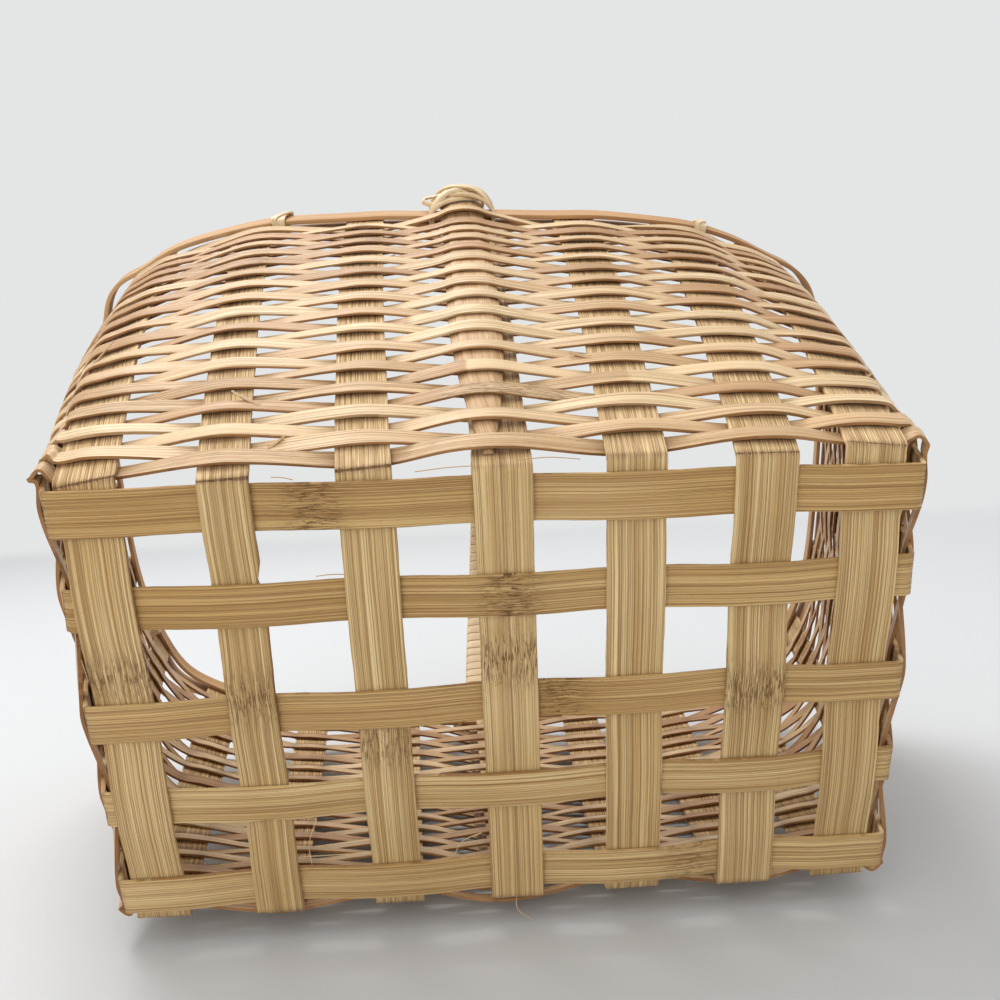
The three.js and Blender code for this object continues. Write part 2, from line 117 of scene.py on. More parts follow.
# the walls
def placeOf(kind, index):
    # where a splint lies: its line on the base, its place at the rim and its width
    pitch, rimPitch = weave[kind + "Pitch"], weave[kind + "RimPitch"]
    share = weave[kind + "Places"][index]
    shift = weave["baseShiftX"] if kind == "cross" else weave["baseShiftY"]
    return share * pitch + shift, share * rimPitch, weave[kind + "Widths"][index] * weave[kind + "Width"]


def lineAt(kind, index, place):
    slant = 0 if kind == "cross" else weave["longSlants"][index]
    return placeOf(kind, index)[0] + slant * (place - weave["baseShiftX"])


def outlineHalf(place, along, across):
    # how far the rim's rounded outline reaches to one side at a place along it
    n = weave["rimSquareness"]
    return across * (1 - min(abs(place) / along, 1) ** n) ** (1 / n)


def wallFrame(stake, height):
    # the wall's middle surface at a stake: its point, the way round, the way up and the way out
    kind, index, end = stake
    cross = kind == "cross"
    head = placeOf(kind, index)[1]
    halfL, halfD, n = weave["rimHalfLength"], weave["rimHalfDepth"], weave["rimSquareness"]
    fold = end * longWallFold + weave["baseShiftY"] if cross else end * shortWallFold + weave["baseShiftX"]
    line = lineAt(kind, index, fold)
    reach = outlineHalf(head, halfL, halfD) if cross else outlineHalf(head, halfD, halfL)
    base = vec(line, fold, 0) if cross else vec(fold, line, 0)
    top = vec(head, end * reach, 0) if cross else vec(end * reach, head, 0)
    rimOut = unit(vec(
        np.sign(top[0]) * (abs(top[0]) / halfL) ** (n - 1) / halfL,
        np.sign(top[1]) * (abs(top[1]) / halfD) ** (n - 1) / halfD, 0))
    baseOut = vec(0, end, 0) if cross else vec(end, 0, 0)
    top[1] += weave["rimSkew"] * top[0]
    level = (height - baseMid) / (weave["rimHeight"] - baseMid)
    b = vec(weave["endBulge"], weave["bulge"], 0)
    spread = (1 - b) * level + b * (1 - (1 - level) ** 2)
    growth = 1 - b + 2 * b * (1 - level)
    point = base + (top - base) * spread
    point[2] = height
    flatOut = unit(baseOut + (rimOut - baseOut) * max(spread[1], 0))
    along = vec(-flatOut[1], flatOut[0], 0)
    up = (top - base) * growth
    up[2] = weave["rimHeight"] - baseMid
    up = unit(up - along * up.dot(along))
    return point, along, up, np.cross(along, up)


def inFrame(f, a, h, o):
    return f[0] + f[1] * a + f[2] * h + f[3] * o


stakes = [("cross", i, -1) for i in range(crossCount)]
stakes += [("long", j, 1) for j in range(longCount)]
stakes += [("cross", i, 1) for i in reversed(range(crossCount))]
stakes += [("long", j, -1) for j in reversed(range(longCount))]


def stakeWidth(stake):
    return placeOf(stake[0], stake[1])[2]


def isCorner(m):
    return stakes[m][0] != stakes[(m + 1) % len(stakes)][0]


rowShadow = dict(fade=0.9, fadePower=1.5, cover=2.2, coverPower=4)


def rowShade(m, heights):
    # painted shade: the dark line of shadow that each strand casts on the stake just below it
    shade = np.zeros(len(heights))
    for row in range(1 - m % 2, rows["count"], 2):
        below = rows["lowest"] + rowPitch * row - rows["width"] / 2 - np.asarray(heights)
        fading = np.exp(-(np.maximum(below, 0) / rowShadow["fade"]) ** rowShadow["fadePower"])
        covered = np.exp(-(below / rowShadow["cover"]) ** rowShadow["coverPower"])
        shade += np.where(below > 0, fading, covered)
    return np.clip(shade, 0, 1)


# the bow handle's own line
def handleSize(height):
    # how wide and how thick the handle is at a height on the wall
    run = min(max((height - bow["tipHeight"]) / bow["taper"], 0), 1)
    share = 1 - (1 - run) ** bow["taperPower"]
    swell = float(smoothStep((height - bandFoot + bow["swellFrom"]) / bow["swellOver"]))
    full = bow["wallThick"] + (bow["thick"] - bow["wallThick"]) * swell
    return (bow["tipWidth"] + (bow["width"] - bow["tipWidth"]) * share,
            bow["tipThick"] + (full - bow["tipThick"]) * share)


def handleOffset(height):
    onStake = weave["thick"] / 2 + weave["gap"]
    onBand = onStake + rim["thick"] + weave["gap"]
    run = min(max((height - bandFoot + bow["ramp"]) / bow["ramp"], 0), 1)
    return onStake + (onBand - onStake) * run


def cubic(a, b, c, d, t):
    # a curve from a toward b, and past c to d
    t = t[:, None]
    return a * (1 - t) ** 3 + 3 * b * t * (1 - t) ** 2 + 3 * c * t * t * (1 - t) + d * t ** 3


def bowLine(count):
    # evenly spaced points of the flat face of the bow from rim to rim, with its sideways lean
    frames = [wallFrame(("cross", middle, end), weave["rimHeight"]) for end in (-1, 1)]
    near, far = [inFrame(f, -end * bow["shift"], 0, handleOffset(weave["rimHeight"]))
                 for f, end in zip(frames, (-1, 1))]
    far[0] = near[0]
    rise = [unit(f[2] * vec(0, 1, 1)) for f in frames]
    crown = vec(near[0], 0, bow["top"] - bow["thick"] - weave["gap"] - wrap["thick"])
    t = np.linspace(0, 1, bow["curveSteps"])
    one = cubic(near, near + rise[0] * bow["rise"], crown - vec(0, bow["crown"], 0), crown, t)
    two = cubic(crown, crown + vec(0, bow["crown"], 0), far + rise[1] * bow["rise"], far, t)
    line = resample(np.vstack([one, two[1:]]), count)
    share = np.linspace(0, 1, count)
    line[:, 0] += bow["lean"] * np.sin(math.pi * share) ** 2
    return line


def lengthAlong(path):
    return np.concatenate([[0], np.cumsum(np.linalg.norm(np.diff(path, axis=0), axis=1))])


def atLengths(path, run, at):
    # the rows of a path, given at the lengths run, at other lengths
    return np.stack([np.interp(at, run, column) for column in path.T], axis=1)


def resample(points, count):
    run = lengthAlong(points)
    return atLengths(points, run, np.linspace(0, run[-1], count))


shortestSpan = 0.05  # keeps points that coincide from breaking a curve


def spline(points, perSpan, closed):
    # a curve through the points; columns past the third ride along with them
    p = np.asarray(points, float)
    if closed:
        p = np.vstack([p[-1:], p, p[:2]])
    else:
        p = np.vstack([2 * p[:1] - p[1:2], p, 2 * p[-1:] - p[-2:-1]])
    t = np.linspace(0, 1, perSpan, endpoint=False)[:, None]
    out = []
    for a, b, c, d in zip(p, p[1:], p[2:], p[3:]):
        spans = [np.linalg.norm(v[:3] - u[:3]) for u, v in ((a, b), (b, c), (c, d))]
        ka, kb, kc = [max(span, shortestSpan) ** 0.5 for span in spans]
        m1 = kb * ((b - a) / ka - (c - a) / (ka + kb) + (c - b) / kb)
        m2 = kb * ((c - b) / kb - (d - b) / (kb + kc) + (d - c) / kc)
        out.append((2 * t**3 - 3 * t**2 + 1) * b + (t**3 - 2 * t**2 + t) * m1
                   + (3 * t**2 - 2 * t**3) * c + (t**3 - t**2) * m2)
    out.append(p[-2:-1])
    return np.vstack(out)


# modelling
grainShift = vec(0.713, 0.0471)  # from one piece's grain to the next one's, in metres
sharpAngle = math.radians(50)
weldGap = 0.01 * mm
plain = (0, 0, 0, 0)  # a surface with no marks


def deselect():
    if bpy.context.object and bpy.context.object.mode != "OBJECT":
        bpy.ops.object.mode_set(mode="OBJECT")
    bpy.ops.object.select_all(action="DESELECT")


def only(obj):
    deselect()
    obj.select_set(True)
    bpy.context.view_layer.objects.active = obj


def perStation(values, count, width):
    # a row of values for each station, also where one row serves all
    return np.broadcast_to(np.asarray(values, float), (count, width))


def setGrain(mesh, layer, uv, marksAndShade):
    # the map of the fibre, in metres along and across the strip, and its marks and painted shade
    loops = np.empty(len(mesh.loops), int)
    mesh.loops.foreach_get("vertex_index", loops)
    layer.uv.foreach_set("vector", uv[loops].ravel())
    color = mesh.color_attributes.new(name="marksAndShade", type="FLOAT_COLOR", domain="POINT")
    color.data.foreach_set("color", marksAndShade.ravel())


def inEditMode(obj, operator, **settings):
    # one mesh operator on the whole of a piece
    only(obj)
    bpy.ops.object.mode_set(mode="EDIT")
    bpy.ops.mesh.select_all(action="SELECT")
    operator(**settings)
    bpy.ops.object.mode_set(mode="OBJECT")


def layStrip(name, path, side, half, thick, edge, closed=False, across=2, cup=0.0, marksAndShade=plain, grain=0,
             cutEdgeAndShade=None):
    # a strip along its middle line, in mm; side: its way across; half: the half widths below and above
    count = len(path)
    deselect()
    bpy.ops.mesh.primitive_grid_add(x_subdivisions=count - 1, y_subdivisions=across, size=1)
    obj = bpy.context.object
    obj.name = name
    mesh = obj.data
    co = np.empty(len(mesh.vertices) * 3)
    mesh.vertices.foreach_get("co", co)
    co = co.reshape(-1, 3)
    col = np.rint((co[:, 0] + 0.5) * (count - 1)).astype(int)
    v = co[:, 1] * 2
    ahead = np.roll(path, -1, 0) - np.roll(path, 1, 0)
    if closed:
        ahead[0] = ahead[-1] = path[1] - path[-2]
    else:
        ahead[0], ahead[-1] = path[1] - path[0], path[-1] - path[-2]
    tangent = unit(ahead)
    side = perStation(side, count, 3)
    side = unit(side - tangent * np.sum(side * tangent, axis=1, keepdims=True))
    out = np.cross(tangent, side)
    half = perStation(half, count, 2)
    reach = np.where(v < 0, half[col, 0], half[col, 1]) * v
    place = path[col] + side[col] * reach[:, None] + out[col] * (cup * (1 - v * v))[:, None]
    mesh.vertices.foreach_set("co", (place * mm).ravel())
    uv = np.stack([lengthAlong(path)[col], reach], axis=1) * mm + grain * grainShift
    setGrain(mesh, mesh.uv_layers[0], uv, perStation(marksAndShade, count, 4)[col])
    if closed:
        inEditMode(obj, bpy.ops.mesh.remove_doubles, threshold=weldGap)
    only(obj)
    # the cut edges take a second finish: their own darker colour and painted shade
    if cutEdgeAndShade:
        obj.data.materials.append(None)
        obj.data.materials.append(cutEdgeAndShade)
    solid = obj.modifiers.new("thickness", "SOLIDIFY")
    solid.material_offset_rim = 1 if cutEdgeAndShade else 0
    solid.thickness = thick * mm
    solid.offset = 0
    solid.use_even_offset = not closed  # the tight corner loops would throw spikes
    soft = obj.modifiers.new("worn edge", "BEVEL")
    soft.width = edge * mm
    soft.segments = 2
    soft.limit_method = "ANGLE"
    soft.angle_limit = sharpAngle
    for modifier in list(obj.modifiers):
        bpy.ops.object.modifier_apply(modifier=modifier.name)
    bpy.ops.object.shade_smooth_by_angle(angle=sharpAngle)
    flat = obj.modifiers.new("flat faces", "WEIGHTED_NORMAL")
    flat.keep_sharp = True
    bpy.ops.object.modifier_apply(modifier=flat.name)
    return obj


def skinRings(name, rings, closed, marksAndShade=plain, grain=0, sharpFrom=sharpAngle):
    # a body over rings of points, each ring anticlockwise about the way of travel
    rings = np.asarray(rings)
    total, n = rings.shape[:2]
    faces = []
    for i in range(total if closed else total - 1):
        a, b = i * n, ((i + 1) % total) * n
        faces += [(a + j, a + (j + 1) % n, b + (j + 1) % n, b + j) for j in range(n)]
    if not closed:
        faces += [tuple(range(n))[::-1], tuple(range((total - 1) * n, total * n))]
    mesh = bpy.data.meshes.new(name)
    mesh.from_pydata((rings.reshape(-1, 3) * mm).tolist(), [], faces)
    obj = bpy.data.objects.new(name, mesh)
    bpy.context.collection.objects.link(obj)
    run = np.repeat(lengthAlong(rings.mean(axis=1)), n)
    girth = np.linalg.norm(rings - np.roll(rings, 1, 1), axis=2).cumsum(axis=1)
    uv = np.stack([run, girth.ravel()], axis=1) * mm + grain * grainShift
    setGrain(mesh, mesh.uv_layers.new(name="UVMap"), uv, np.repeat(perStation(marksAndShade, total, 4), n, 0))
    inEditMode(obj, bpy.ops.mesh.normals_make_consistent, inside=False)
    bpy.ops.object.shade_smooth_by_angle(angle=sharpFrom)
    return obj


def joinAs(name, parts):
    deselect()
    for part in parts:
        part.select_set(True)
    bpy.context.view_layer.objects.active = parts[0]
    bpy.ops.object.join()
    parts[0].name = name
    return parts[0]


def finishPiece(obj, material, node):
    if len(obj.data.materials) == 0:
        obj.data.materials.append(material)
    obj.data.materials[0] = material
    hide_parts(node)
    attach(obj, "root")


# finishes
class Wire:
    # a shader socket that adds its Math nodes when it is used in an expression
    def __init__(self, tree, socket):
        self.tree, self.socket = tree, socket

    def output(self, name):
        # another output of the same node
        return Wire(self.tree, self.socket.node.outputs[name])

    def math(self, operation, *values):
        return self.tree.node("ShaderNodeMath", dict(operation=operation), *values)

    def __add__(self, other):
        return self.math("ADD", self, other)

    def __radd__(self, other):
        return self.math("ADD", other, self)

    def __sub__(self, other):
        return self.math("SUBTRACT", self, other)

    def __rsub__(self, other):
        return self.math("SUBTRACT", other, self)

    def __mul__(self, other):
        return self.math("MULTIPLY", self, other)

    def __rmul__(self, other):
        return self.math("MULTIPLY", other, self)

    def clamp(self):
        return self.tree.node("ShaderNodeClamp", {}, self)


class NodeTree:
    # the nodes of a material or of the room; every new one is added by the method node
    def __init__(self, tree):
        self.nodes, self.links = tree.nodes, tree.links

    def node(self, kind, settings, *values, out=0, **named):
        made = self.nodes.new(kind)
        for key, value in settings.items():
            setattr(made, key, value)
        for key, value in [*enumerate(values), *named.items()]:
            if value is not None:
                self.feed(made.inputs[key], value)
        return Wire(self, made.outputs[out])

    def feed(self, socket, value):
        if isinstance(value, Wire):
            self.links.new(value.socket, socket)
        else:
            socket.default_value = value

    def mix(self, share, first, second):
        # a Mix node has its factor at 0, its two colours at 6 and 7 and the mixed colour at 2
        return self.node("ShaderNodeMix", dict(data_type="RGBA"), share, *[None] * 5, first, second, out=2)

    def noise(self, vector, cells, shift, detail, grit):
        moved = self.node("ShaderNodeMapping", {}, Vector=vector, Scale=(*cells, 1), Location=(0, 0, shift))
        return self.node("ShaderNodeTexNoise", {}, Vector=moved, Scale=1, Detail=detail, Roughness=grit)

    def ramp(self, value, low, high):
        # 0 below low, 1 above high and a soft step between them
        return self.node("ShaderNodeMapRange", dict(interpolation_type="SMOOTHSTEP"), value, low, high)


class Finish(NodeTree):
    # one material and its surface
    def __init__(self, name):
        self.material = bpy.data.materials.new(name)
        self.material.use_nodes = True
        super().__init__(self.material.node_tree)
        self.shader = self.nodes["Principled BSDF"]

    def surface(self, inputs):
        for key, value in inputs.items():
            self.feed(self.shader.inputs[key], value)


def linear(r, g, b):
    one = lambda c: c / 12.92 if c <= 0.04045 else ((c + 0.055) / 1.055) ** 2.4
    return one(r / 255), one(g / 255), one(b / 255), 1


# noise cells in a metre of strip, along it and across it
cells = dict(
    wander=(50, 110), bands=(5, 300), stripes=(4.5, 1850), lines=(7, 4100), hairs=(90, 4600),
    clouds=(30, 80), pores=(700, 1900), speckles=(260, 2300), jags=(420, 800),
)
# colours laid over the bamboo: pale, joint, crease, crack and pore are its own; shade is painted shade
stainsAndShade = dict(
    pale=(238, 216, 174), joint=(96, 62, 26), crease=(112, 70, 36), shade=(92, 52, 24), crack=(92, 60, 30),
    pore=(84, 56, 28),
)
fibreSize = dict(stray=0.0003, jointStray=0.0028, depth=0.0004)  # in metres


def splitBamboo(name, light, dark, fibre, warm, bare, line=0.5, rough=0.55, relief=0.3, coat=0.0, fine=1.0):
    # split bamboo: stripes and hair lines along the strip, joints of the cane, cracked folds and painted
    # shade. The marksAndShade attribute holds joint, crease (painted shade where it is below zero), tone
    # (warmer above zero, paler below, and painted shade on the weavers) and how fibrous the face is.
    f = Finish(name)
    light, dark, fibre, warm, bare = [linear(*c) for c in (light, dark, fibre, warm, bare)]
    stainAndShade = {key: linear(*c) for key, c in stainsAndShade.items()}
    uv = f.node("ShaderNodeUVMap", dict(uv_map="UVMap"))
    marksAndShade = f.node("ShaderNodeAttribute", dict(attribute_name="marksAndShade"))
    fibrous = marksAndShade.output("Alpha")
    joint = f.node("ShaderNodeSeparateColor", {}, marksAndShade)
    # green: the crease above zero, painted shade below it; blue: the tone, on the weavers also painted shade
    crease, tone = joint.output("Green"), joint.output("Blue")

    def grain(kind, on, shift, finer=1.0, detail=2.0, grit=0.5):
        along, across = cells[kind]
        return f.noise(on, (along, across * finer), shift, detail, grit)

    wander = grain("wander", uv, 0) - 0.5
    sideways = wander * (fibreSize["stray"] + joint * fibreSize["jointStray"])
    stray = f.node("ShaderNodeCombineXYZ", {}, 0.0, sideways, 0.0)
    lay = f.node("ShaderNodeVectorMath", dict(operation="ADD"), uv, stray)
    bands = f.ramp(grain("bands", lay, 3.1, fine), 0.36, 0.66)
    stripes = f.ramp(grain("stripes", lay, 4.6, fine, grit=0.6), 0.42, 0.61)
    lines = f.ramp(grain("lines", lay, 7.7, fine, grit=0.6), 0.5, 0.6)
    hairs = f.ramp(grain("hairs", uv, 1.3, fine), 0.42, 0.6)
    clouds = f.ramp(grain("clouds", uv, 5.2, detail=3), 0.35, 0.7)
    pores = f.ramp(grain("pores", uv, 9.4), 0.66, 0.72)
    speckles = f.ramp(grain("speckles", lay, 2.2, detail=3, grit=0.7), 0.5, 0.58)
    jags = grain("jags", uv, 6.3, detail=4, grit=0.7) - 0.5
    crack = f.ramp(crease + jags * 0.8, 0.7, 0.84)
    layers = [  # each lies over the last: how much of it, from 0 to 1, and its colour
        (clouds * 0.2, warm),
        (fibrous * 0.8, bare),
        (tone.clamp(), warm),
        ((0.0 - tone).clamp(), stainAndShade["pale"]),
        (stripes * (0.2 + line * 0.5) * (1.0 - fibrous * 0.5), dark),
        (stripes * tone.clamp() * 0.42, fibre),
        (lines * (0.16 + line * 0.56), fibre),
        (hairs * (0.06 + fibrous * 0.42), fibre),
        ((joint * (0.18 + speckles * 0.85)).clamp(), stainAndShade["joint"]),
        ((crease * (0.5 + lines * 0.5)).clamp(), stainAndShade["crease"]),
        # painted shade where green is below zero: under the rows and behind the stakes
        ((0.0 - crease).clamp() * (0.66 + lines * 0.2), stainAndShade["shade"]),
        (crack * (0.6 + speckles * 0.4), stainAndShade["crack"]),
        (pores * (0.12 + joint * 0.6), stainAndShade["pore"]),
    ]
    color = f.mix(bands * 0.45, light, dark)
    for share, tint in layers:
        color = f.mix(share, color, tint)
    height = 0.0 - stripes * 0.5 - lines * 0.6 - hairs * (0.2 + fibrous * 0.5)
    height = height - pores * 0.5 - joint * speckles * 0.8 - crack * 1.6
    bump = f.node("ShaderNodeBump", {}, Strength=relief, Distance=fibreSize["depth"], Height=height)
    f.surface({"Base Color": color, "Roughness": rough + bands * 0.1, "Normal": bump})
    f.surface({"Specular IOR Level": 0.3})
    if coat:
        f.surface({"Coat Weight": coat, "Coat Roughness": 0.3})
    return f.material


splintFinish = splitBamboo(
    "split bamboo, straw", light=(226, 200, 148), dark=(172, 136, 84), fibre=(128, 86, 42),
    warm=(180, 141, 78), bare=(243, 211, 160), line=0.85, relief=0.5)
weaverFinish = splitBamboo(
    "weaver peel", light=(236, 209, 168), dark=(204, 166, 120), fibre=(132, 92, 52),
    warm=(190, 144, 98), bare=(238, 210, 162), rough=0.4, line=0.62, relief=0.45, coat=0.12, fine=0.8)
# the weavers' cut edges: the bamboo's own darker edge and painted shade, as under each strand
edgeAndShadeFinish = splitBamboo(
    "weaver cut edge and painted shade", light=(180, 138, 92), dark=(146, 104, 62), fibre=(104, 70, 36),
    warm=(146, 104, 66), bare=(172, 130, 84), rough=0.7, line=0.4)
rimFinish = splitBamboo(
    "rim bamboo", light=(202, 162, 116), dark=(166, 120, 74), fibre=(122, 80, 44),
    warm=(160, 112, 70), bare=(190, 146, 98), line=0.45, rough=0.6, fine=0.7)
handleFinish = splitBamboo(
    "handle bamboo", light=(222, 189, 144), dark=(192, 154, 110), fibre=(140, 100, 62),
    warm=(190, 148, 106), bare=(218, 186, 142), line=0.55, rough=0.45, coat=0.1)
caneFinish = splitBamboo(
    "binding cane", light=(234, 213, 174), dark=(212, 184, 140), fibre=(160, 124, 80),
    warm=(204, 168, 122), bare=(234, 211, 170), line=0.35, rough=0.4, coat=0.2)
print("finishes are ready")


# base splints and stakes
splintLook = dict(
    step=2.4, wallStep=0.8, edge=0.2, across=6, plateau=0.62, shade=0.95,
    foldUp=(0.35, 1.3, 3), foldIn=(1.1, 2, 3.2), foldTuck=0.15,  # stations close to a fold, in mm
    stray=0.02, nibble=0.008, edgeWaves=[(160, 14), (170, 11)],  # of the two edges, their waves in mm
    jointReach=7.5, jointPower=2.4, nickReach=5, creaseReach=0.75, crease=0.8, backCrease=0.6,
    tone=0.06, toneVary=0.14, toneWave=260,
)
# where a joint of the cane lies on a splint: its place along it, in mm, and its strength
joints = {
    ("cross", 0): (-9.8, 0.7), ("cross", 1): (-2.1, 0.75), ("cross", 2): (13.8, 0.7),
    ("cross", 3): (-9.3, 0.8), ("cross", 5): (3.5, 0.8), ("long", 0): (-40.6, 0.85),
    ("long", 1): (6.3, 0.9), ("long", 2): (18.3, 0.8), ("long", 4): (54.1, 0.6),
}
creases = {  # how badly a fold has cracked
    ("cross", 0): 0.95, ("cross", 1): 1.0, ("cross", 2): 1.05, ("cross", 3): 0.5, ("cross", 4): 0.6,
    ("cross", 5): 0.85, ("cross", 6): 0.8,
}
longTones = [0.62, 0.56, 0.5, 0.14, 0.2]  # the top splint is the darkest
# torn places in an edge: where along the splint, which edge and how deep
nicks = {("cross", 1): (-34.5, 1, 1.1), ("long", 3): (-61.0, 0, 0.5), ("cross", 4): (31.0, 1, 0.4)}
threadLook = dict(half=0.12, thick=0.2, edge=0.04, taper=0.6, perSpan=7,
                  marksAndShade=dict(long=[0, 0, 0.7, 0.2], cross=[0, 0, -0.3, 0.5]))
# loose threads that stand off the splints: three points of each, in mm
threads = {
    ("long", 0): [[(-44.5, -60.4, 1), (-47, -61.2, 0.7), (-49.6, -61.5, 0.5)],
                  [(-15.5, -60.9, 1), (-8, -61.7, 0.5), (-1.8, -61.9, 0.3)],
                  [(9.5, -62.6, 0.8), (16.5, -63.1, 0.4), (24.2, -62.3, 0.2)]],
    ("long", 1): [[(-34.0, -35.2, 1), (-37.7, -35.5, 0.7), (-41.4, -35.3, 0.5)],
                  [(29.5, -22.6, 1), (31.8, -23.4, 0.6), (33.8, -24.9, 0.3)]],
    ("cross", 1): [[(-48.6, 37.8, 2.6), (-51.6, 46.4, 3.2), (-51.3, 53.4, 2.6)],
                   [(-56.0, 50.1, 2.8), (-44.1, 50.6, 3.5), (-32.9, 50.1, 2.6)]],
    ("cross", 3): [[(5.3, 64.5, 1.2), (5.2, 70.6, 0.5), (9.6, 75.0, 0.2)],
                   [(-3.8, 45.5, 2.6), (-9.5, 48.6, 3.2), (-12.2, 54.0, 2.6)]],
    ("long", 4): [[(44.0, 58.2, 1), (50.5, 60.3, 0.7), (55.8, 60.6, 0.4)]],
}


def splintStations(kind, index):
    # the middle line of a strip from rim to rim, its way across, its two folds and its width
    cross = kind == "cross"
    other = "long" if cross else "cross"
    line, _, width = placeOf(kind, index)
    crossings = []
    for k in range(longCount if cross else crossCount):
        lower = ((index + k) % 2 == 1) == cross
        crossings.append((lineAt(other, k, line), -lift if lower else lift, placeOf(other, k)[2] / 2))

    def heightAt(u):
        if u <= crossings[0][0]:
            return baseMid + crossings[0][1]
        for (a, za, wa), (b, zb, wb) in zip(crossings, crossings[1:]):
            if u <= b:
                p = splintLook["plateau"]
                t = (u - a - wa * p) / (b - a - (wa + wb) * p)
                return baseMid + za + (zb - za) * float(smoothStep(t))
        return baseMid + crossings[-1][1]

    flat = vec(1, 0, 0) if cross else vec(0, -1, 0)
    folds, walls = {}, {}
    for end, crossing in ((-1, crossings[0]), (1, crossings[-1])):
        stake = (kind, index, end)
        z = baseMid + crossing[1]
        folds[end] = wallFrame(stake, z)[0][1 if cross else 0]
        one, two, three = [z + up for up in splintLook["foldUp"]]
        steps = int((weave["rimHeight"] - z) / splintLook["wallStep"])
        frames = [wallFrame(stake, h) for h in (one, two, *np.linspace(three, weave["rimHeight"], steps))]
        turn = 1 if frames[0][1].dot(flat) > 0 else -1
        walls[end] = [(f[0], f[1] * turn) for f in frames]
        walls[end][0] = (walls[end][0][0] - frames[0][3] * splintLook["foldTuck"], flat)
    one, two, three = splintLook["foldIn"]
    start, stop = folds[-1], folds[1]
    inner = np.linspace(start + three, stop - three, int((stop - start) / splintLook["step"]))
    base = []
    for u in (start + one, start + two, *inner, stop - two, stop - one):
        z, v = heightAt(u), lineAt(kind, index, u)
        base.append((vec(v, u, z) if cross else vec(u, v, z), flat))
    point, side = [np.array(part) for part in zip(*reversed(walls[-1]), *base, *walls[1])]
    return point, side, (len(walls[-1]), len(walls[-1]) + len(base)), width


def layThread(name, kind, points):
    look = threadLook
    line = spline(points, look["perSpan"], False)
    half = look["half"] * (1 - look["taper"] * np.linspace(0, 1, len(line)))[:, None]
    return layStrip(name + "Thread", line, vec(0, 0, 1), half, look["thick"], look["edge"],
                    marksAndShade=look["marksAndShade"][kind])


def laySplint(kind, index, number):
    look = splintLook
    point, side, (first, last), width = splintStations(kind, index)
    run = lengthAlong(point)
    seed = 100 + number * 7
    half = []
    for k, (slow, quick) in enumerate(look["edgeWaves"]):
        stray = look["stray"] * ripple(run / slow, seed + 2 * k)
        nibble = look["nibble"] * ripple(run / quick, seed + 2 * k + 1)
        half.append(width / 2 * (1 + stray + nibble))
    half = np.stack(half, axis=1)
    own = point[:, 1] if kind == "cross" else point[:, 0]
    nick, edge, depth = nicks.get((kind, index), (0, 0, 0))
    half[:, edge] -= depth * smoothStep(1 - np.abs(own - nick) / look["nickReach"])
    onBase = np.zeros(len(point))
    onBase[first:last] = 1
    marksAndShade = np.zeros((len(point), 4))
    place, strength = joints.get((kind, index), (0, 0))
    far = np.abs((own - place) / look["jointReach"])
    marksAndShade[:, 0] = strength * np.exp(-far ** look["jointPower"]) * onBase
    for fold, share in ((run[first - 1], 1), (run[last], look["backCrease"])):
        bent = np.exp(-((run - fold) / look["creaseReach"]) ** 2)
        marksAndShade[:, 1] += share * creases.get((kind, index), look["crease"]) * bent
    tone = longTones[index] if kind == "long" else look["tone"]
    marksAndShade[:, 2] = tone * onBase + look["toneVary"] * ripple(run / look["toneWave"], seed + 5)
    # painted shade on the stake's walls, under the rows that pass outside it
    for end, span in ((-1, slice(0, first)), (1, slice(last, None))):
        marksAndShade[span, 1] -= look["shade"] * rowShade(stakes.index((kind, index, end)), point[span, 2])
    marksAndShade[:, 3] = 1 - onBase
    name = f"{kind}Splint{index + 1}"
    obj = layStrip(name, point, side, half, weave["thick"], look["edge"], across=look["across"],
                   marksAndShade=marksAndShade, grain=number)
    for points in threads.get((kind, index), []):
        obj = joinAs(name, [obj, layThread(name, kind, points)])
    finishPiece(obj, splintFinish, f"{kind}_splint_{index + 1}")


for index in range(crossCount):
    laySplint("cross", index, index)
for index in range(longCount):
    laySplint("long", index, crossCount + index)
print("splints are laid")


# weavers
weaverLook = dict(
    perSpan=5, edge=0.32, wander=0.3, twist=0.14, lean=0.4, swell=0.5, innerSwell=0.2, wider=1.02, vary=0.1,
    overHandle=(-1.3, -0.65, 0, 0.65, 1.3), drape=0.42,  # shares of the handle's half width and thickness
    shade=0.42, shadeReach=2.6, tones=(-0.6, 0.8), bareness=1.5, joint=0.6, jointReach=3.2, quirkEase=6,
)
# painted shade: the outside of the corners, where the walls turn from the light, and the upper rows are
# darker
wearAndPaintedShade = dict(halfLength=140, halfDepth=104, reach=0.88, ease=0.4, corner=0.5, cornerRows=9,
            upper=0.25, upperFrom=14, upperRows=16)
# lengths of the front wall's rows that look their own way: from x to x, tone, freckles
quirks = {
    0: (-125, 120, 0.28, 0.12), 1: (-118, -30, 0.0, 0.0), 2: (60, 112, 0.05, 0.0), 4: (-12, 40, 0.2, 0.55),
    9: (44, 128, 0.75, 0.1), 13: (-140, -84, 0.7, 0.0),
}
# loose ends of peel: row, where it starts, how far it runs, how steeply it leaves the row
spurs = [
    (4, -53.0, 9, -0.5), (1, -50.5, 5, 0.5), (11, -108.0, 7, 0.9), (7, 34.0, 7, -0.35), (16, 92.0, 8, 0.4),
    (22, -30.0, 7, 0.35), (6, 104.0, 6, 0.5),
]
spurLook = dict(half=0.9, taper=0.75, thick=0.4, edge=0.08, marksAndShade=[0.2, 0, 0.35, 0.6], grain=55, steps=9,
                curl=1.6, off=0.2, lift=0.9, liftPower=1.4)


